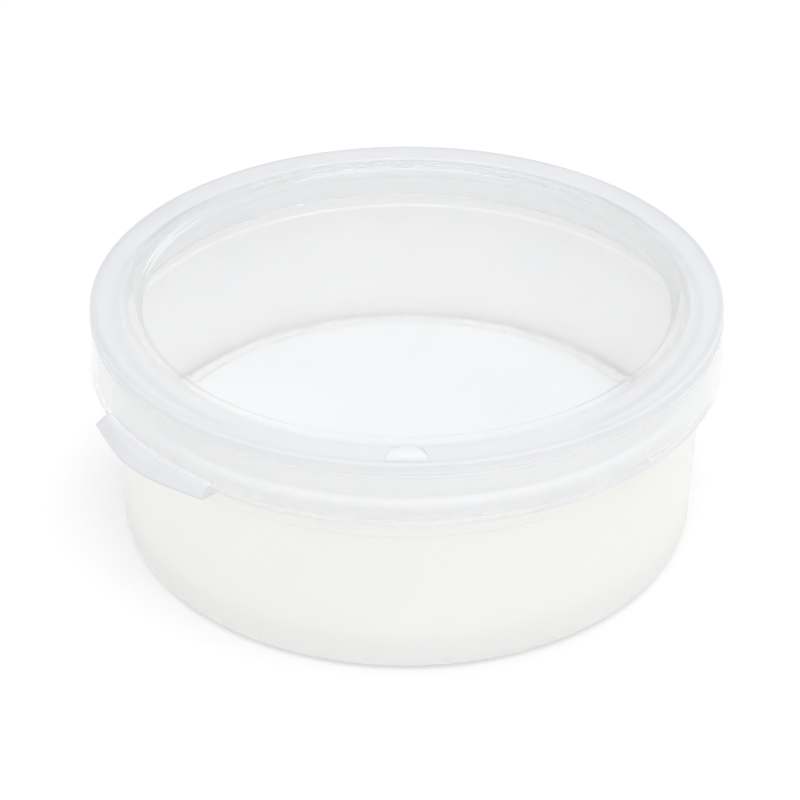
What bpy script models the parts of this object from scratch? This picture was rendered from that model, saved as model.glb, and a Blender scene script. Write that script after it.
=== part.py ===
"""Round wet palette for model paints: a moulded tub with a press-on lid, holding a damp sponge
disc under a disc of palette paper.

The frame has its origin at the centre of the tub's underside, +Z up. The lid's pull tab is at
the front left (-X, -Y) and its gate pad at the front (-Y).
"""

import math

import bmesh
import bpy

MM = 0.001
SEGMENTS = 72  # facets around every turned piece
FIT_GAP = 0.3  # clearance between pieces that touch on the real object

# Driving dimensions, in millimetres.
LID_TOP = 47.0  # from the table to the top of the closed lid's ring
LID_RADIUS = 59.0  # at the ring's outer edge
LID_WALL = 1.1
LID_SKIRT_DEPTH = 12.0
LID_SKIRT_FLARE = 0.9  # how much wider the skirt is at its lower edge
LID_CORNER = 0.6  # rounding of the ring's outer edge
RING_INNER_RADIUS = 50.3
RING_THICKNESS = 1.8
PANEL_STEP = 1.1  # how far the lid's middle lies below the ring
PANEL_THICKNESS = 1.0
LIP_INNER_RADIUS = 54.1
LIP_THICKNESS = 1.0
LIP_DEPTH = 9.6  # from the ring's top to the lip's lower edge
SNAP_RISE = 0.5  # how far the lid's snap bead stands in from the skirt

TUB_BASE_RADIUS = 55.4
TUB_DRAFT = 0.02  # growth of the radius per unit of height
TUB_WALL = 1.1
TUB_FLOOR = 1.3
TUB_CORNER = 3.0  # outer rounding between wall and base
TUB_STEP_HEIGHT = 30.2
TUB_STEP = 0.3
TUB_BEAD_LOW = 36.5
TUB_BEAD_HIGH = 38.7
TUB_BEAD_RISE = 1.4
SEAL_LAND_HEIGHT = 34.8  # the bore is wider above this, where the lid's lip seals

SPONGE_RADIUS = 54.0
SPONGE_THICKNESS = 6.8
SPONGE_CORNER = 0.5  # at its upper edge
SPONGE_FOOT = 2.6  # at its lower edge, clear of the tub's own rounding
PAPER_RADIUS = 50.7
PAPER_THICKNESS = 0.3

TAB_CENTRE = 222.0  # degrees around +Z from +X
TAB_HALF_SPAN = 15.0
TAB_END_RAMP = 2.0  # degrees over which each end falls back to the skirt
TAB_REACH = 3.0  # past the skirt, at the ends of the outer edge
TAB_BULGE = 1.4  # more reach at the middle
TAB_HEIGHT = 1.9
TAB_SLOPE = 1.7  # how far the lower edge stands out past the upper one
TAB_STEPS = 22

PAD_RADIUS = 3.6
PAD_EDGE_INSET = 0.95  # from the ring's outer edge to the pad's flat side
PAD_HEIGHT = 1.0
PAD_STEPS = 12

MATERIALS = {
    "tub": ((0.90, 0.90, 0.87, 1.0), 0.38),
    "lid": ((0.84, 0.88, 0.93, 1.0), 0.22),
    "sponge": ((0.92, 0.91, 0.86, 1.0), 0.95),
    "palette_paper": ((0.95, 0.95, 0.94, 1.0), 0.70),
}


def clear_scene():
    for ob in list(bpy.data.objects):
        bpy.data.objects.remove(ob, do_unlink=True)


def material(name):
    colour, roughness = MATERIALS[name]
    mat = bpy.data.materials.new(name)
    mat.use_nodes = True
    shader = mat.node_tree.nodes["Principled BSDF"]
    shader.inputs["Base Color"].default_value = colour
    shader.inputs["Roughness"].default_value = roughness
    shader.inputs["Metallic"].default_value = 0.0
    return mat


def add_object(name, bm, mat=None):
    """Makes an object from a bmesh drawn in millimetres."""
    bmesh.ops.scale(bm, vec=(MM, MM, MM), verts=bm.verts)
    mesh = bpy.data.meshes.new(name)
    bm.to_mesh(mesh)
    bm.free()
    mesh.shade_smooth()
    mesh.set_sharp_from_angle(angle=math.radians(35))
    ob = bpy.data.objects.new(name, mesh)
    bpy.context.scene.collection.objects.link(ob)
    if mat:
        mesh.materials.append(mat)
    return ob


def arc(centre_r, centre_z, radius, start, end, steps):
    """Points of an arc in the (radius, height) plane, its angles in degrees from +R to +Z."""
    points = []
    for i in range(steps + 1):
        a = math.radians(start + (end - start) * i / steps)
        points.append((centre_r + radius * math.cos(a), centre_z + radius * math.sin(a)))
    return points


def turned(profile):
    """Spins a profile of (radius, height) points about Z; its two ends lie on the axis."""
    bm = bmesh.new()
    verts = [bm.verts.new((r, 0.0, z)) for r, z in profile]
    edges = [bm.edges.new(pair) for pair in zip(verts, verts[1:])]
    bmesh.ops.spin(
        bm,
        geom=verts + edges,
        cent=(0, 0, 0),
        axis=(0, 0, 1),
        angle=2 * math.pi,
        steps=SEGMENTS,
        use_merge=True,
    )
    bmesh.ops.remove_doubles(bm, verts=bm.verts, dist=1e-4)
    bmesh.ops.recalc_face_normals(bm, faces=bm.faces)
    return bm


def tub_radius(height):
    """Outer radius of the tub's wall at a height, without its bead."""
    step = TUB_STEP if height > TUB_STEP_HEIGHT else 0.0
    return TUB_BASE_RADIUS + TUB_DRAFT * height + step


def skirt_radius(height):
    """Outer radius of the lid's skirt at a height."""
    return LID_RADIUS + LID_SKIRT_FLARE * (LID_TOP - height) / LID_SKIRT_DEPTH


def tub_rim_height():
    return LID_TOP - RING_THICKNESS - FIT_GAP


def tub_profile():
    """Outline of the wall and floor, from the underside round the rim to the inner floor."""
    rim = tub_rim_height()
    bead_mid = (TUB_BEAD_LOW + TUB_BEAD_HIGH) / 2
    inner_corner = TUB_CORNER - TUB_WALL
    bore = tub_radius(TUB_FLOOR + inner_corner) - TUB_WALL
    seal_bore = LIP_INNER_RADIUS + LIP_THICKNESS + FIT_GAP
    land_bore = tub_radius(TUB_STEP_HEIGHT) - TUB_WALL
    rim_round = 0.35
    points = [(0.0, 0.0)]
    points += arc(tub_radius(TUB_CORNER) - TUB_CORNER, TUB_CORNER, TUB_CORNER, -90, 0, 6)
    points += [
        (tub_radius(TUB_STEP_HEIGHT), TUB_STEP_HEIGHT),
        (tub_radius(TUB_STEP_HEIGHT) + TUB_STEP, TUB_STEP_HEIGHT + TUB_STEP),
        (tub_radius(TUB_BEAD_LOW), TUB_BEAD_LOW),
        (tub_radius(TUB_BEAD_LOW) + 0.8 * TUB_BEAD_RISE, TUB_BEAD_LOW + 0.35),
        (tub_radius(bead_mid) + TUB_BEAD_RISE, bead_mid),
        (tub_radius(TUB_BEAD_HIGH) + 0.6 * TUB_BEAD_RISE, TUB_BEAD_HIGH - 0.4),
        (tub_radius(TUB_BEAD_HIGH), TUB_BEAD_HIGH),
        (tub_radius(rim) - 0.15, rim - rim_round),
        (tub_radius(rim) - 0.15 - rim_round, rim),
        (seal_bore + rim_round, rim),
        (seal_bore, rim - rim_round),
        (seal_bore, SEAL_LAND_HEIGHT),
        (land_bore, SEAL_LAND_HEIGHT - 0.3),
    ]
    points += arc(bore - inner_corner, TUB_FLOOR + inner_corner, inner_corner, 0, -90, 4)
    points += [(0.0, TUB_FLOOR)]
    return points


def lid_profile():
    """Outline of the lid, from the panel's top over the ring and skirt to its underside."""
    ring_under = LID_TOP - RING_THICKNESS
    panel_top = LID_TOP - PANEL_STEP
    skirt_end = LID_TOP - LID_SKIRT_DEPTH
    lip_outer = LIP_INNER_RADIUS + LIP_THICKNESS
    lip_end = LID_TOP - LIP_DEPTH
    bead_top = skirt_end + 1.5
    points = [
        (0.0, panel_top),
        (RING_INNER_RADIUS - 0.9, panel_top),
        (RING_INNER_RADIUS - 0.3, LID_TOP - 0.4),
        (RING_INNER_RADIUS + 0.2, LID_TOP),
    ]
    points += arc(LID_RADIUS - LID_CORNER, LID_TOP - LID_CORNER, LID_CORNER, 90, 0, 4)
    points += [
        (skirt_radius(skirt_end + 0.3), skirt_end + 0.3),
        (skirt_radius(skirt_end) - 0.3, skirt_end),
        (skirt_radius(skirt_end) - LID_WALL - 0.1, skirt_end),
        (skirt_radius(skirt_end) - LID_WALL - SNAP_RISE, skirt_end + 0.6),
        (skirt_radius(bead_top) - LID_WALL, bead_top),
        (skirt_radius(ring_under - 0.8) - LID_WALL, ring_under - 0.8),
        (skirt_radius(ring_under) - LID_WALL - 0.7, ring_under),
        (lip_outer + 0.3, ring_under),
        (lip_outer, ring_under - 0.5),
        (lip_outer, lip_end + 1.0),
        (lip_outer - 0.4, lip_end),
        (LIP_INNER_RADIUS + 0.2, lip_end),
        (LIP_INNER_RADIUS, lip_end + 0.3),
        (LIP_INNER_RADIUS, ring_under - 0.4),
        (LIP_INNER_RADIUS - 0.4, ring_under),
        (RING_INNER_RADIUS + 1.4, ring_under),
        (RING_INNER_RADIUS + 0.9, panel_top - PANEL_THICKNESS),
        (0.0, panel_top - PANEL_THICKNESS),
    ]
    return points


def tab_reach(offset):
    """How far the pull tab stands out of the skirt, at a number of degrees from its centre."""
    share = min(1.0, (TAB_HALF_SPAN - abs(offset)) / TAB_END_RAMP)
    bulge = TAB_BULGE * math.cos(math.pi / 2 * offset / TAB_HALF_SPAN) ** 2
    return 0.15 + (TAB_REACH + bulge) * share


def pull_tab():
    """The ledge on the skirt's lower edge: one section after another around the skirt."""
    low = LID_TOP - LID_SKIRT_DEPTH
    high = low + TAB_HEIGHT
    root = skirt_radius(low) - 0.7 * LID_WALL
    bm = bmesh.new()
    loops = []
    for i in range(TAB_STEPS + 1):
        offset = TAB_HALF_SPAN * (2 * i / TAB_STEPS - 1)
        a = math.radians(TAB_CENTRE + offset)
        outer = skirt_radius(low) + tab_reach(offset)
        upper = max(outer - TAB_SLOPE, root + 0.4)
        section = [
            (root, low + 0.1),
            (outer, low + 0.1),
            (outer, low + 0.5),
            (upper, high),
            (root, high),
        ]
        loops.append(
            [bm.verts.new((r * math.cos(a), r * math.sin(a), z)) for r, z in section]
        )
    for one, two in zip(loops, loops[1:]):
        for k in range(len(one)):
            n = (k + 1) % len(one)
            bm.faces.new((one[k], one[n], two[n], two[k]))
    bm.faces.new(loops[0])
    bm.faces.new(loops[-1])
    bmesh.ops.recalc_face_normals(bm, faces=bm.faces)
    return bm


def gate_pad():
    """The half-round pad on the ring, its flat side along the ring's front edge."""
    flat_y = -(LID_RADIUS - PAD_EDGE_INSET)
    bm = bmesh.new()
    rim = []
    for i in range(PAD_STEPS + 1):
        a = math.pi * i / PAD_STEPS
        place = (PAD_RADIUS * math.cos(a), flat_y + PAD_RADIUS * math.sin(a), LID_TOP - 0.5)
        rim.append(bm.verts.new(place))
    base = bm.faces.new(rim)
    top = bmesh.ops.extrude_face_region(bm, geom=[base])
    lifted = [v for v in top["geom"] if isinstance(v, bmesh.types.BMVert)]
    bmesh.ops.translate(bm, verts=lifted, vec=(0, 0, PAD_HEIGHT + 0.5))
    bmesh.ops.recalc_face_normals(bm, faces=bm.faces)
    return bm


def fuse(target, name, bm):
    """Joins a moulded feature to its piece, and keeps the feature's mesh as a guide."""
    guide = add_object(name, bm)
    guide.hide_render = True
    guide.display_type = "WIRE"
    modifier = target.modifiers.new(name, "BOOLEAN")
    modifier.operation = "UNION"
    modifier.object = guide
    return guide


def build_tub():
    return add_object("tub", turned(tub_profile()), material("tub"))


def build_lid():
    lid = add_object("lid", turned(lid_profile()), material("lid"))
    for guide in (fuse(lid, "tab_guide", pull_tab()), fuse(lid, "pad_guide", gate_pad())):
        guide.parent = lid
    return lid


def build_sponge():
    low = TUB_FLOOR + FIT_GAP
    high = low + SPONGE_THICKNESS
    profile = [(0.0, low)]
    profile += arc(SPONGE_RADIUS - SPONGE_FOOT, low + SPONGE_FOOT, SPONGE_FOOT, -90, 0, 4)
    profile += arc(SPONGE_RADIUS - SPONGE_CORNER, high - SPONGE_CORNER, SPONGE_CORNER, 0, 90, 2)
    profile += [(0.0, high)]
    return add_object("sponge", turned(profile), material("sponge"))


def build_paper():
    low = TUB_FLOOR + FIT_GAP + SPONGE_THICKNESS + FIT_GAP
    profile = [
        (0.0, low),
        (PAPER_RADIUS, low),
        (PAPER_RADIUS, low + PAPER_THICKNESS),
        (0.0, low + PAPER_THICKNESS),
    ]
    return add_object("palette_paper", turned(profile), material("palette_paper"))


def main():
    clear_scene()
    tub = build_tub()
    for piece in (build_lid(), build_sponge(), build_paper()):
        piece.parent = tub


main()
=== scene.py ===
"""The looks of a round wet palette: a milky moulded tub, a clear press-on lid with a pull tab, and
a damp sponge disc under a disc of palette paper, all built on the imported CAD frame.

Outlines are in millimetres, as (radius, height), and each mesh is scaled to metres at the end."""

import math

import bmesh
import bpy
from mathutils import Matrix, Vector, noise


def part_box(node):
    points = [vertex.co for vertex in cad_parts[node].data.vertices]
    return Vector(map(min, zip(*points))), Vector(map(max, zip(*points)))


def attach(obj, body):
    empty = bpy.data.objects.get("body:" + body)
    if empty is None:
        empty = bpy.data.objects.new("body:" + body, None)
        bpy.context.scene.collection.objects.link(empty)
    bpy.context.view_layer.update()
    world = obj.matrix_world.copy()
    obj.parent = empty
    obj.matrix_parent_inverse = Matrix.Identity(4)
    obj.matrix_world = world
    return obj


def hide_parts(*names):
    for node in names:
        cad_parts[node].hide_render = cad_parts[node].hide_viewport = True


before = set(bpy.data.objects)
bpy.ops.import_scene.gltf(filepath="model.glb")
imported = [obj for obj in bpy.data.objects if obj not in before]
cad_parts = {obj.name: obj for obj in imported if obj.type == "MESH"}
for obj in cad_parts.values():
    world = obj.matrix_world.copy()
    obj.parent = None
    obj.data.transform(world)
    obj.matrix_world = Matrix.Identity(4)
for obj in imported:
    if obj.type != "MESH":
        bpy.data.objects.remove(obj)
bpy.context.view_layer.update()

MM = 0.001


def box_mm(node):
    """A CAD node's lowest and highest corners, in millimetres."""
    low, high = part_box(node)
    return low / MM, high / MM


TUB_HIGH = box_mm("tub")[1]
LID_LOW, LID_HIGH = box_mm("lid")
SPONGE_LOW, SPONGE_HIGH = box_mm("sponge")
PAPER_LOW, PAPER_HIGH = box_mm("palette_paper")

# The lid, in millimetres.
PAD_HEIGHT = 1.0
LID_TOP = LID_HIGH.z - PAD_HEIGHT
SKIRT_END = LID_LOW.z
SKIRT_DEPTH = LID_TOP - SKIRT_END
SKIRT_RADIUS = LID_HIGH.x  # at the skirt's lower edge
SKIRT_FLARE = 0.9
RING_RADIUS = SKIRT_RADIUS - SKIRT_FLARE
RING_CORNER = 0.6
RING_INNER_RADIUS = 50.3
RING_THICKNESS = 1.8
PANEL_STEP = 1.1
PANEL_THICKNESS = 1.0
LID_WALL = 1.1
LIP_INNER_RADIUS = 54.1
LIP_THICKNESS = 1.0
LIP_DEPTH = 9.6
SNAP_RISE = 0.5
SNAP_HEIGHT = 1.5
LID_FACE = 4  # spacing of the faces across its flat parts

# Its pull tab and the pad on its ring.
TAB_CENTRE = 222.0  # degrees around +Z from +X
TAB_HALF_SPAN = 15.0
TAB_END_RAMP = 0.8
TAB_REACH = 3.0
TAB_BULGE = 1.4
TAB_HEIGHT = 1.9
TAB_SLOPE = 1.7
PAD_RADIUS = 3.6
PAD_EDGE_INSET = 0.95
PAD_ROOT = 0.5  # how far it reaches down into the ring
PAD_BEVEL = 0.25
PAD_STEPS = 36

# The tub.
TUB_RIM = TUB_HIGH.z
TUB_BASE_RADIUS = 55.4
TUB_DRAFT = 0.02
TUB_WALL = 1.1
TUB_FLOOR = 1.3
TUB_CORNER = 3.0
TUB_STEP_HEIGHT = 30.2
TUB_STEP = 0.3
TUB_BEAD_LOW = 36.5
TUB_BEAD_HIGH = 38.7
TUB_BEAD_RISE = 1.4
SEAL_LAND_HEIGHT = 34.8
FIT_GAP = 0.3
TUB_FACE = 6

# The sponge. Its pores and its grain are noise, in times per millimetre.
SPONGE_CORNER = 0.5  # rounding of the upper edge
SPONGE_FOOT = 2.6  # rounding of the lower edge
SPONGE_FACE = 0.9
SPONGE_STEPS = 300
PORE_SCALE = 0.55
PORE_WIDTH = 0.55  # in the noise's own units
PORE_SLOPE = 0.55
PORE_DEPTH = 0.35  # the most that pores and grain may take off
GRAIN_SCALE = 1.7
GRAIN_DEPTH = 0.12

# The paper.
PAPER_FACE = 2.0
PAPER_STEPS = 180
PAPER_ROOM = (0.05, 0.1)  # left for its waves, below and above
PAPER_WAVES = ((0.07, 0.035), (0.03, 0.11))  # height, and times per millimetre

# How outlines become meshes.
TURN_STEPS = 288
CURVE_STEPS = 5  # facets in each rounded corner
EDGE_SHARE = 0.42  # the most of an edge that one rounding may take up
SUPPORT_GAP = 0.12  # from a rounding's end to the extra point beside it
SUPPORT_SHARE = 0.06  # the same, on a short edge
SHARP_EDGE = 50.0  # degrees between two faces
FUSED_SHARP_EDGE = 40.0

# The studio, in metres and degrees. The camera was fitted to the ellipses of the lid and the tub.
CAMERA_DISTANCE = 0.43365
CAMERA_ELEVATION = 32.6
CAMERA_TARGET = (0, 0, 0.02355)
FLOOR_SIZE = 3000  # half its width, in millimetres
FLOOR_GLOW = 0.265
SKY_LEVELS = ((0.0, 0.50), (0.7, 0.82))  # how far up a direction points, and its brightness


# Meshes


def smooth(mesh, sharp):
    """Smooth shading, but for edges whose faces meet at more than this angle, in degrees."""
    mesh.shade_smooth()
    mesh.set_sharp_from_angle(angle=math.radians(sharp))


def finish_mesh(name, bm):
    """Makes an object of a mesh that was drawn in millimetres."""
    bmesh.ops.scale(bm, vec=(MM, MM, MM), verts=bm.verts)
    bmesh.ops.recalc_face_normals(bm, faces=bm.faces)
    mesh = bpy.data.meshes.new(name)
    bm.to_mesh(mesh)
    bm.free()
    smooth(mesh, SHARP_EDGE)
    ob = bpy.data.objects.new(name, mesh)
    bpy.context.scene.collection.objects.link(ob)
    return ob


def beside(point, edge):
    """A point a little further along an edge, so that the faces beyond it are shaded flat."""
    return point + edge.normalized() * min(SUPPORT_GAP, SUPPORT_SHARE * edge.length)


def rounded(corners, steps=CURVE_STEPS):
    """The outline through corners of (radius, height, rounding). Each rounded corner becomes a short
    curve between two points that far from it, with one more point beside each of its ends."""
    points = [Vector(corner[:2]) for corner in corners]
    outline = [points[0]]
    for i in range(1, len(points) - 1):
        here, rounding = points[i], corners[i][2]
        if not rounding:
            outline.append(here)
            continue
        back, ahead = points[i - 1] - here, points[i + 1] - here
        start = here + back.normalized() * min(rounding, EDGE_SHARE * back.length)
        end = here + ahead.normalized() * min(rounding, EDGE_SHARE * ahead.length)
        outline.append(beside(start, back))
        for k in range(steps + 1):
            t = k / steps
            outline.append(start * (1 - t) ** 2 + here * 2 * t * (1 - t) + end * t**2)
        outline.append(beside(end, ahead))
    outline.append(points[-1])
    return outline


def turned(outline_at, angles):
    """Lofts the outlines at these angles, in degrees, into a closed piece. Every outline has as many
    points as the others, and its two ends lie on the axis."""
    bm = bmesh.new()
    first = outline_at(angles[0])
    poles = [bm.verts.new((0, 0, first[0].y)), bm.verts.new((0, 0, first[-1].y))]
    rings = []
    for angle in angles:
        c, s = math.cos(math.radians(angle)), math.sin(math.radians(angle))
        rings.append([bm.verts.new((p.x * c, p.x * s, p.y)) for p in outline_at(angle)[1:-1]])
    for one, two in zip(rings, rings[1:] + rings[:1]):
        bm.faces.new((poles[0], one[0], two[0]))
        bm.faces.new((poles[1], two[-1], one[-1]))
        for a, b, c, d in zip(one, one[1:], two[1:], two):
            bm.faces.new((a, b, c, d))
    return bm


def even_angles(steps=TURN_STEPS):
    """The angles of even steps all the way round, in degrees."""
    return [360.0 * i / steps for i in range(steps)]


def spokes(start, end, height, spacing):
    """Points along a flat stretch of an outline, so that its faces stay small."""
    count = max(1, round(abs(end - start) / spacing))
    return [(start + (end - start) * i / count, height, 0) for i in range(1, count)]


def quarter(centre_r, centre_z, radius, start, steps):
    """A quarter circle of an outline, from an angle in degrees from +R towards +Z."""
    turns = [math.radians(start + 90 * i / steps) for i in range(steps + 1)]
    return [(centre_r + radius * math.cos(a), centre_z + radius * math.sin(a), 0) for a in turns]


# The tub


def tub_radius(height):
    """The radius of the tub's outside, which has a slight draft and a small step."""
    step = TUB_STEP if height > TUB_STEP_HEIGHT else 0.0
    return TUB_BASE_RADIUS + TUB_DRAFT * height + step


def tub_outline():
    """The tub's section: up the outside from the floor's middle, over the rim and down the bore."""
    bead_mid = (TUB_BEAD_LOW + TUB_BEAD_HIGH) / 2
    inner_corner = TUB_CORNER - TUB_WALL
    bore_low = tub_radius(TUB_FLOOR) - TUB_WALL
    bore_high = tub_radius(SEAL_LAND_HEIGHT) - TUB_STEP - TUB_WALL
    seal_bore = LIP_INNER_RADIUS + LIP_THICKNESS + FIT_GAP
    rim_outer = tub_radius(TUB_RIM) - 0.15
    corners = [(0, 0, 0)]
    corners += spokes(0, tub_radius(0), 0, TUB_FACE)[:-1]
    corners += [
        (tub_radius(0), 0, TUB_CORNER),
        (tub_radius(TUB_STEP_HEIGHT) - 0.02, TUB_STEP_HEIGHT - 0.1, 0.12),
        (tub_radius(TUB_STEP_HEIGHT) + TUB_STEP, TUB_STEP_HEIGHT + 0.25, 0.15),
        (tub_radius(TUB_BEAD_LOW), TUB_BEAD_LOW, 0.2),
        (tub_radius(TUB_BEAD_LOW) + 0.8 * TUB_BEAD_RISE, TUB_BEAD_LOW + 0.35, 0.3),
        (tub_radius(bead_mid) + TUB_BEAD_RISE, bead_mid, 0.5),
        (tub_radius(TUB_BEAD_HIGH) + 0.6 * TUB_BEAD_RISE, TUB_BEAD_HIGH - 0.4, 0.3),
        (tub_radius(TUB_BEAD_HIGH), TUB_BEAD_HIGH, 0.2),
        (rim_outer, TUB_RIM, 0.4),
        (seal_bore, TUB_RIM, 0.35),
        (seal_bore, SEAL_LAND_HEIGHT, 0.25),
        (bore_high, SEAL_LAND_HEIGHT - 0.3, 0.25),
        (bore_low, TUB_FLOOR, inner_corner),
    ]
    corners += spokes(bore_low - inner_corner, 0, TUB_FLOOR, TUB_FACE)
    corners += [(0, TUB_FLOOR, 0)]
    return rounded(corners)


# The lid


def skirt_radius(height):
    """The radius of the lid's outside, which flares towards its lower edge."""
    return RING_RADIUS + SKIRT_FLARE * (LID_TOP - height) / SKIRT_DEPTH


def tab_reach(angle):
    """How far the pull tab stands out of the skirt at an angle around the lid, in degrees."""
    offset = angle - TAB_CENTRE
    if abs(offset) >= TAB_HALF_SPAN:
        return 0.0
    share = min(1.0, (TAB_HALF_SPAN - abs(offset)) / TAB_END_RAMP)
    bulge = TAB_BULGE * math.cos(math.pi / 2 * offset / TAB_HALF_SPAN) ** 2
    return (TAB_REACH + bulge) * share


def lid_outline(angle):
    """The lid's section at this angle: out over the top, down the skirt, and back underneath."""
    ring_under = LID_TOP - RING_THICKNESS
    panel_top = LID_TOP - PANEL_STEP
    lip_outer = LIP_INNER_RADIUS + LIP_THICKNESS
    lip_end = LID_TOP - LIP_DEPTH
    tab_top = SKIRT_END + TAB_HEIGHT
    reach = tab_reach(angle)
    tab_lift = min(1.0, reach / TAB_REACH)
    upper_reach = max(0.0, reach - TAB_SLOPE)
    foot = skirt_radius(SKIRT_END)
    bead_top = SKIRT_END + SNAP_HEIGHT
    corners = [(0, panel_top, 0)]
    corners += spokes(0, RING_INNER_RADIUS, panel_top, LID_FACE)
    corners += [
        (RING_INNER_RADIUS - 0.9, panel_top, 0.6),
        (RING_INNER_RADIUS + 0.2, LID_TOP, 0.6),
        (RING_RADIUS, LID_TOP, RING_CORNER),
        (skirt_radius(tab_top + 0.6), tab_top + 0.6, 0),
        (skirt_radius(tab_top) + 0.1 * tab_lift, tab_top, 0.3),
        (skirt_radius(tab_top) + upper_reach, tab_top - 0.1, 0.25),
        (foot + reach, SKIRT_END + 0.5, 0.2),
        (foot + reach, SKIRT_END, 0.22),
        (foot - LID_WALL - 0.1, SKIRT_END, 0.2),
        (foot - LID_WALL - SNAP_RISE, SKIRT_END + 0.6, 0.3),
        (skirt_radius(bead_top) - LID_WALL, bead_top, 0.3),
        (skirt_radius(ring_under) - LID_WALL, ring_under, 0.8),
        (lip_outer, ring_under, 0.5),
        (lip_outer, lip_end, 0.45),
        (LIP_INNER_RADIUS, lip_end, 0.3),
        (LIP_INNER_RADIUS, ring_under, 0.8),
        (RING_INNER_RADIUS + 2.0, ring_under, 0.6),
        (RING_INNER_RADIUS + 0.3, panel_top - PANEL_THICKNESS, 0.6),
    ]
    corners += spokes(RING_INNER_RADIUS, 0, panel_top - PANEL_THICKNESS, LID_FACE)
    corners += [(0, panel_top - PANEL_THICKNESS, 0)]
    return rounded(corners)


def lid_angles():
    """Even steps around the lid, with short ones where the tab ends."""
    angles = even_angles()
    for end in (TAB_CENTRE - TAB_HALF_SPAN, TAB_CENTRE + TAB_HALF_SPAN):
        angles = [a for a in angles if abs(a - end) > 1.3]
        angles += [end + 0.1 * k for k in range(-10, 11)]
    return sorted(angles)


def gate_pad():
    """The half-round pad, its flat side along the ring's front edge, its lower part in the ring."""
    flat_y = PAD_EDGE_INSET - RING_RADIUS
    bm = bmesh.new()
    rim = []
    for i in range(PAD_STEPS + 1):
        a = math.pi * i / PAD_STEPS
        place = (PAD_RADIUS * math.cos(a), flat_y + PAD_RADIUS * math.sin(a), LID_TOP - PAD_ROOT)
        rim.append(bm.verts.new(place))
    base = bm.faces.new(rim)
    top = bmesh.ops.extrude_face_region(bm, geom=[base])
    lifted = [v for v in top["geom"] if isinstance(v, bmesh.types.BMVert)]
    bmesh.ops.translate(bm, verts=lifted, vec=(0, 0, PAD_HEIGHT + PAD_ROOT))
    high = [e for e in bm.edges if all(v.co.z > LID_TOP for v in e.verts)]
    bmesh.ops.bevel(bm, geom=high, offset=PAD_BEVEL, segments=3, affect="EDGES", profile=0.5)
    return finish_mesh("gate_pad_cutter", bm)


def fuse(target, other):
    """Joins a moulded feature to its piece as one closed mesh."""
    modifier = target.modifiers.new("fuse", "BOOLEAN")
    modifier.operation = "UNION"
    modifier.solver = "EXACT"
    modifier.object = other
    view = bpy.context.evaluated_depsgraph_get()
    mesh = bpy.data.meshes.new_from_object(target.evaluated_get(view))
    target.modifiers.clear()
    target.data = mesh
    smooth(mesh, FUSED_SHARP_EDGE)
    bpy.data.objects.remove(other)


# The sponge and the paper


def sponge_disc():
    """A disc of cellulose sponge: fine rings of faces, pitted with pores that noise places."""
    radius, low, high = SPONGE_HIGH.x, SPONGE_LOW.z, SPONGE_HIGH.z
    inside = radius - SPONGE_CORNER
    side_low, side_high = low + SPONGE_FOOT, high - SPONGE_CORNER
    side = side_high - side_low
    side_steps = round(side / SPONGE_FACE)
    corners = [(0, low, 0)]
    corners += spokes(0, radius - SPONGE_FOOT, low, SPONGE_FACE)
    corners += quarter(radius - SPONGE_FOOT, side_low, SPONGE_FOOT, -90, 6)
    corners += [(radius, side_low + side * i / side_steps, 0) for i in range(1, side_steps)]
    corners += quarter(inside, side_high, SPONGE_CORNER, 0, 3)
    corners += spokes(inside, 0, high, SPONGE_FACE)
    corners += [(0, high, 0)]
    outline = rounded(corners)
    bm = turned(lambda angle: outline, even_angles(SPONGE_STEPS))
    bm.normal_update()
    moves = []
    for v in bm.verts:
        near = noise.voronoi(v.co * PORE_SCALE)[0][0]
        fine = noise.noise(v.co * GRAIN_SCALE)
        depth = PORE_SLOPE * max(0.0, PORE_WIDTH - near) + GRAIN_DEPTH * max(0.0, fine)
        moves.append(v.normal * -min(depth, PORE_DEPTH))
    for v, move in zip(bm.verts, moves):
        v.co += move
    return finish_mesh("sponge_disc", bm)


def paper_disc():
    """The disc of parchment, a little wavy from the damp."""
    radius = PAPER_HIGH.x
    low, high = PAPER_LOW.z + PAPER_ROOM[0], PAPER_HIGH.z - PAPER_ROOM[1]
    corners = [(0, low, 0)]
    corners += spokes(0, radius, low, PAPER_FACE)
    corners += [(radius, low, 0.04), (radius, high, 0.04)]
    corners += spokes(radius, 0, high, PAPER_FACE)
    corners += [(0, high, 0)]
    outline = rounded(corners, steps=2)
    bm = turned(lambda angle: outline, even_angles(PAPER_STEPS))
    for v in bm.verts:
        flat = Vector((v.co.x, v.co.y, 0))
        v.co.z += sum(height * noise.noise(flat * scale) for height, scale in PAPER_WAVES)
    return finish_mesh("paper_disc", bm)


# Materials


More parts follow.
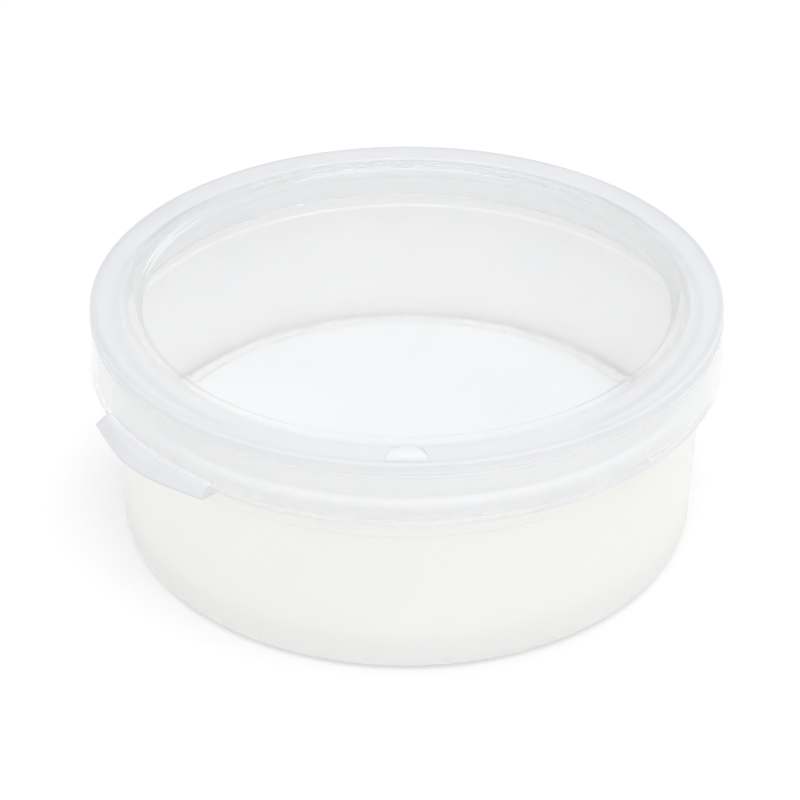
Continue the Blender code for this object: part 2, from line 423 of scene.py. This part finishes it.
class Nodes:
    """A material's node tree, with short ways to add what these materials use."""

    def __init__(self, name):
        self.material = bpy.data.materials.new(name)
        self.material.use_nodes = True
        self.tree = self.material.node_tree
        self.shader = self.tree.nodes["Principled BSDF"]
        self.place = self.add("ShaderNodeTexCoord").outputs["Object"]

    def add(self, kind, **settings):
        """A new node of this kind, with these of its properties set."""
        node = self.tree.nodes.new(kind)
        for key, value in settings.items():
            setattr(node, key, value)
        return node

    def link(self, source, target):
        self.tree.links.new(source, target)

    def noise(self, per_mm, detail=3.0, roughness=0.55, distortion=0.0):
        """Noise whose features repeat about this many times in a millimetre."""
        node = self.add("ShaderNodeTexNoise")
        node.inputs["Scale"].default_value = per_mm / MM
        node.inputs["Detail"].default_value = detail
        node.inputs["Roughness"].default_value = roughness
        node.inputs["Distortion"].default_value = distortion
        self.link(self.place, node.inputs["Vector"])
        return node.outputs["Fac"]

    def between(self, factor, low, high, start=0.35, end=0.65):
        """A number that goes from low to high as the factor goes from start to end."""
        node = self.add("ShaderNodeMapRange")
        for key, value in (("From Min", start), ("From Max", end), ("To Min", low), ("To Max", high)):
            node.inputs[key].default_value = value
        self.link(factor, node.inputs["Value"])
        return node.outputs["Result"]

    def shades(self, factor, dark, light, start=0.35, end=0.65):
        """A colour that goes from dark to light as the factor goes from start to end."""
        node = self.add("ShaderNodeValToRGB")
        for element, at, colour in zip(node.color_ramp.elements, (start, end), (dark, light)):
            element.position = at
            element.color = (*colour, 1.0)
        self.link(factor, node.inputs["Fac"])
        return node.outputs["Color"]

    def radius(self):
        """The distance from the turning axis, in metres."""
        flat = self.add("ShaderNodeVectorMath", operation="MULTIPLY")
        flat.inputs[1].default_value = (1, 1, 0)
        self.link(self.place, flat.inputs[0])
        length = self.add("ShaderNodeVectorMath", operation="LENGTH")
        self.link(flat.outputs["Vector"], length.inputs[0])
        return length.outputs["Value"]

    def height(self):
        """The height above the floor, in metres."""
        parts = self.add("ShaderNodeSeparateXYZ")
        self.link(self.place, parts.inputs[0])
        return parts.outputs["Z"]

    def past(self, length, start, end):
        """A mask that goes from 0 at start to 1 at end, two lengths in millimetres. Where start is
        the greater, the mask is 1 on the near side."""
        return self.between(length, 0.0, 1.0, start * MM, end * MM)

    def math(self, operation, one, two):
        """A Math node on two sockets."""
        node = self.add("ShaderNodeMath", operation=operation)
        self.link(one, node.inputs[0])
        self.link(two, node.inputs[1])
        return node.outputs[0]

    def mix(self, factor, low, high):
        """A number between two others, each a value or a socket."""
        node = self.add("ShaderNodeMix", data_type="FLOAT")
        for socket, value in ((node.inputs[0], factor), (node.inputs[2], low), (node.inputs[3], high)):
            if isinstance(value, bpy.types.NodeSocket):
                self.link(value, socket)
            else:
                socket.default_value = value
        return node.outputs[0]

    def blend(self, factor, low, high):
        """A colour between two others."""
        node = self.add("ShaderNodeMix", data_type="RGBA")
        for socket, value in ((node.inputs[0], factor), (node.inputs[6], low), (node.inputs[7], high)):
            self.link(value, socket)
        return node.outputs[2]

    def bump(self, height, distance_mm, under=None):
        """Relief as deep as this, on top of what is under it."""
        node = self.add("ShaderNodeBump")
        node.inputs["Strength"].default_value = 1.0
        node.inputs["Distance"].default_value = distance_mm * MM
        self.link(height, node.inputs["Height"])
        if under:
            self.link(under, node.inputs["Normal"])
        return node.outputs["Normal"]

    def let_light_through(self, tint):
        """Lets lamps and scattered light pass straight through the piece, so that it doesn't shade
        what is under it. Real plastic shades it a little."""
        rays = self.add("ShaderNodeLightPath")
        clear = self.add("ShaderNodeBsdfTransparent")
        clear.inputs["Color"].default_value = tint
        surface = self.shader.outputs["BSDF"]
        for kind in ("Is Diffuse Ray", "Is Shadow Ray"):
            mix = self.add("ShaderNodeMixShader")
            self.link(rays.outputs[kind], mix.inputs[0])
            self.link(surface, mix.inputs[1])
            self.link(clear.outputs["BSDF"], mix.inputs[2])
            surface = mix.outputs["Shader"]
        self.link(surface, self.tree.nodes["Material Output"].inputs["Surface"])

    def set(self, **values):
        """Sets or links the shader's own sockets, named with underscores for spaces."""
        for key, value in values.items():
            socket = self.shader.inputs[key.replace("_", " ")]
            if isinstance(value, bpy.types.NodeSocket):
                self.link(value, socket)
            else:
                socket.default_value = value


def tub_plastic():
    """Milky plastic with light scattering inside it. Its colour is painted light: lighter inside the
    tub, to lift the shade there, and a little darker on the tub's outside, where more light falls.
    """
    n = Nodes("tub_plastic")
    broad = n.noise(0.03, detail=2.0)
    grain = n.noise(2.2, detail=2.0)
    outside = n.past(n.radius(), TUB_BASE_RADIUS - 0.5, TUB_BASE_RADIUS - 0.2)
    # Painted light: the inner colour is lighter to lift the shade inside the tub, and the outer colour
    # is darker where more light falls on the outside.
    inner_painted_light_colour = n.shades(broad, (0.955, 0.955, 0.945), (0.967, 0.967, 0.957))
    outer_painted_shade_colour = n.shades(broad, (0.893, 0.893, 0.877), (0.903, 0.903, 0.888))
    n.set(
        Base_Color=n.blend(outside, inner_painted_light_colour, outer_painted_shade_colour),
        Roughness=n.between(n.noise(0.12), 0.34, 0.44),
        IOR=1.49,
        Subsurface_Weight=1.0,
        Subsurface_Radius=(1.0, 0.95, 0.85),
        Subsurface_Scale=0.8 * MM,
        Normal=n.bump(grain, 0.006),
    )
    return n.material


def lid_plastic():
    """One moulding whose haze and tint go by zone. The panel and the ring's inner part are clearest,
    then the lip and the pad, then the skirt. The ring's outer part and the tab are haziest, and the
    ring's outer part is also painted darker for the shade in the channel under it. A line of painted
    shade runs along the ring's edge, and the ring's rounded corner is painted paler than the ring but
    darker than the skirt, to damp the glare on it."""
    n = Nodes("lid_plastic")
    radius, height, tone = n.radius(), n.height(), n.noise(0.08)
    lip_outer = LIP_INNER_RADIUS + LIP_THICKNESS
    ring_under = LID_TOP - RING_THICKNESS

    # Masks by distance from the axis.
    outer = n.past(radius, LIP_INNER_RADIUS - 1.6, LIP_INNER_RADIUS - 0.4)
    frosted = n.past(radius, RING_INNER_RADIUS + 0.4, LIP_INNER_RADIUS - 1.6)
    on_lip = n.past(radius, lip_outer + 1.0, lip_outer + 0.4)
    near_edge = n.past(radius, RING_RADIUS - 1.5, RING_RADIUS - 1.1)
    at_corner = n.past(radius, RING_RADIUS - 0.55, RING_RADIUS - 0.35)
    on_tab = n.past(radius, SKIRT_RADIUS + 0.1, SKIRT_RADIUS + 0.8)

    # Masks by height.
    on_foot = n.past(height, SKIRT_END + 1.4, SKIRT_END + 0.8)
    near_top = n.past(height, LID_TOP - 2.6, LID_TOP - 1.8)
    in_ring = n.past(height, ring_under - 0.8, ring_under + 0.6)
    on_top = n.past(height, LID_TOP - 0.15, LID_TOP - 0.03)
    on_pad = n.past(height, LID_TOP + 0.1, LID_TOP + 0.25)

    thick = n.math("MAXIMUM", in_ring, on_tab)
    # Painted shade: the mask of the dark line along the top of the ring's edge.
    edge = n.math("MULTIPLY", near_edge, on_top)
    corner = n.math("MULTIPLY", at_corner, near_top)

    clear_colour = n.shades(n.noise(0.05), (0.955, 0.958, 0.964), (0.97, 0.973, 0.978))
    skirt_colour = n.shades(tone, (0.915, 0.92, 0.93), (0.93, 0.935, 0.942))
    # Partly painted shade: the ring's outer part is darker for the shade in the channel under it, and
    # hazy from its thicker plastic.
    ring_haze_and_shade_colour = n.shades(tone, (0.74, 0.75, 0.77), (0.76, 0.768, 0.785))
    # Painted shade for the dark line along the ring's edge.
    edge_shade_colour = n.shades(tone, (0.70, 0.71, 0.74), (0.72, 0.73, 0.755))
    lip_colour = n.shades(tone, (0.968, 0.972, 0.978), (0.976, 0.98, 0.986))
    # Painted light: the rounded corner is paler than the ring's shaded band and darker than the skirt,
    # to damp the glare on it.
    corner_painted_light_colour = n.shades(tone, (0.83, 0.84, 0.86), (0.85, 0.86, 0.875))
    tab_colour = n.shades(tone, (0.755, 0.763, 0.785), (0.775, 0.782, 0.80))
    thin_colour = n.blend(on_lip, skirt_colour, lip_colour)
    thick_and_shaded_colour = n.blend(on_tab, n.blend(corner, ring_haze_and_shade_colour, corner_painted_light_colour), tab_colour)
    hazy_and_shaded_colour = n.blend(edge, n.blend(thick, thin_colour, thick_and_shaded_colour), edge_shade_colour)
    hazy_and_shaded_colour = n.blend(on_pad, hazy_and_shaded_colour, lip_colour)

    thin_clearness = n.mix(on_lip, 0.72, 0.88)
    thick_clearness = n.mix(on_pad, 0.22, 0.8)
    hazy_clearness = n.mix(thick, thin_clearness, thick_clearness)
    gloss = n.between(n.noise(0.25, detail=5.0), 0.05, 0.11)
    blur = n.mix(n.math("MAXIMUM", thick, on_foot), 0.2, 0.4)
    n.set(
        Base_Color=n.blend(outer, clear_colour, hazy_and_shaded_colour),
        Roughness=n.mix(frosted, gloss, blur),
        IOR=1.2,
        Transmission_Weight=n.mix(outer, 0.96, hazy_clearness),
        Coat_Weight=n.mix(corner, 1.0, 0.25),
        Coat_IOR=1.4,
        Coat_Roughness=0.1,
        Normal=n.bump(n.noise(0.09, detail=2.0), 0.03),
    )
    n.let_light_through((0.985, 0.99, 1.0, 1.0))
    return n.material


def sponge_foam():
    """Damp off-white cellulose, painted darker in its pores for the shade in them."""
    n = Nodes("sponge_foam")
    cells = n.add("ShaderNodeTexVoronoi")
    cells.inputs["Scale"].default_value = 0.9 / MM
    n.link(n.place, cells.inputs["Vector"])
    pores = cells.outputs["Distance"]
    n.set(
        # Painted shade: the colour darkens in the pores, where shade falls.
        Base_Color=n.shades(pores, (0.87, 0.86, 0.82), (0.96, 0.955, 0.93), 0.05, 0.5),
        Roughness=n.between(n.noise(0.4), 0.55, 0.9),
        Normal=n.bump(pores, 0.5, under=n.bump(n.noise(3.0), 0.1)),
    )
    return n.material


def paper_sheet():
    """White parchment with fine fibres, and a darker rim that is painted shade along its edge."""
    n = Nodes("paper_sheet")
    fibres = n.noise(1.4, detail=6.0, roughness=0.7, distortion=1.2)
    damp = n.noise(0.035, detail=3.0)
    # Painted shade: a dark line round the paper's edge, for the shade beside it.
    rim = n.past(n.radius(), PAPER_HIGH.x - 0.55, PAPER_HIGH.x - 0.25)
    white = n.shades(damp, (0.955, 0.955, 0.945), (0.97, 0.97, 0.963))
    rim_shade_colour = n.shades(damp, (0.60, 0.60, 0.59), (0.66, 0.66, 0.65))
    n.set(
        Base_Color=n.blend(rim, white, rim_shade_colour),
        Roughness=n.between(damp, 0.42, 0.6),
        Subsurface_Weight=0.25,
        Subsurface_Radius=(1.0, 1.0, 0.95),
        Subsurface_Scale=1.0 * MM,
        Normal=n.bump(fibres, 0.008),
    )
    return n.material


# The pieces


def place(piece, material, body, slot, *nodes):
    """Gives a piece its material, hangs it on the body it rides on, and hides the CAD nodes it stands
    for.
    """
    piece.data.materials.clear()
    piece.data.materials.append(material)
    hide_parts(*nodes)
    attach(piece, body)
    return piece


def build_pieces():
    outline = tub_outline()
    tub = finish_mesh("moulded_tub", turned(lambda angle: outline, even_angles()))
    place(tub, tub_plastic(), "tub_body", "tub_plastic", "tub")
    lid = finish_mesh("moulded_lid", turned(lid_outline, lid_angles()))
    fuse(lid, gate_pad())
    place(lid, lid_plastic(), "lid_body", "lid_plastic", "lid")
    sponge = place(sponge_disc(), sponge_foam(), "sponge_body", "sponge_foam", "sponge")
    paper = place(paper_disc(), paper_sheet(), "paper_body", "paper_sheet", "palette_paper")


# The studio


def floor():
    """A pale floor, lit a little from below as a light table is, so that shadows on it stay soft."""
    bm = bmesh.new()
    bmesh.ops.create_grid(bm, x_segments=8, y_segments=8, size=FLOOR_SIZE)
    ob = finish_mesh("floor", bm)
    n = Nodes("floor_white")
    n.set(
        Base_Color=n.shades(n.noise(0.002), (0.70, 0.70, 0.70), (0.705, 0.705, 0.705)),
        Roughness=0.9,
        Specular_IOR_Level=0.1,
        Emission_Color=(1.0, 1.0, 1.0, 1.0),
        Emission_Strength=FLOOR_GLOW,
    )
    ob.data.materials.append(n.material)


def area_light(name, where, size, radiance, aim=(0, 0, 0.02)):
    """A square soft light of this brightness, at a place in metres, that faces the object."""
    light = bpy.data.lights.new(name, "AREA")
    light.shape = "SQUARE"
    light.size = size
    light.energy = radiance * math.pi * size * size
    ob = bpy.data.objects.new(name, light)
    ob.location = where
    ob.rotation_euler = (Vector(aim) - Vector(where)).to_track_quat("-Z", "Y").to_euler()
    bpy.context.scene.collection.objects.link(ob)


def sky():
    """Even light from all round, dimmer towards the horizon."""
    world = bpy.data.worlds.new("studio")
    world.use_nodes = True
    tree = world.node_tree
    place = tree.nodes.new("ShaderNodeTexCoord")
    parts = tree.nodes.new("ShaderNodeSeparateXYZ")
    ramp = tree.nodes.new("ShaderNodeValToRGB")
    for element, (at, level) in zip(ramp.color_ramp.elements, SKY_LEVELS):
        element.position = at
        element.color = (level, level, level, 1.0)
    tree.links.new(place.outputs["Generated"], parts.inputs[0])
    tree.links.new(parts.outputs["Z"], ramp.inputs["Fac"])
    tree.links.new(ramp.outputs["Color"], tree.nodes["Background"].inputs["Color"])
    bpy.context.scene.world = world


def camera():
    """A long lens looking down on the front of the lid."""
    elevation = math.radians(CAMERA_ELEVATION)
    to_camera = Vector((0, -math.cos(elevation), math.sin(elevation)))
    data = bpy.data.cameras.new("camera")
    data.lens = 101.25
    data.sensor_width = 36
    data.shift_x = -0.0085
    data.shift_y = -0.01
    ob = bpy.data.objects.new("camera", data)
    ob.location = Vector(CAMERA_TARGET) + CAMERA_DISTANCE * to_camera
    ob.rotation_euler = (math.pi / 2 - elevation, 0, 0)
    bpy.context.scene.collection.objects.link(ob)
    bpy.context.scene.camera = ob


def studio():
    floor()
    sky()
    area_light("overhead", where=(0.05, -0.25, 0.95), size=0.8, radiance=1.95)
    area_light("key", where=(0.6, 0.7, 0.65), size=0.5, radiance=1.6)
    bpy.context.scene.view_settings.view_transform = "Standard"


camera()
build_pieces()
studio()
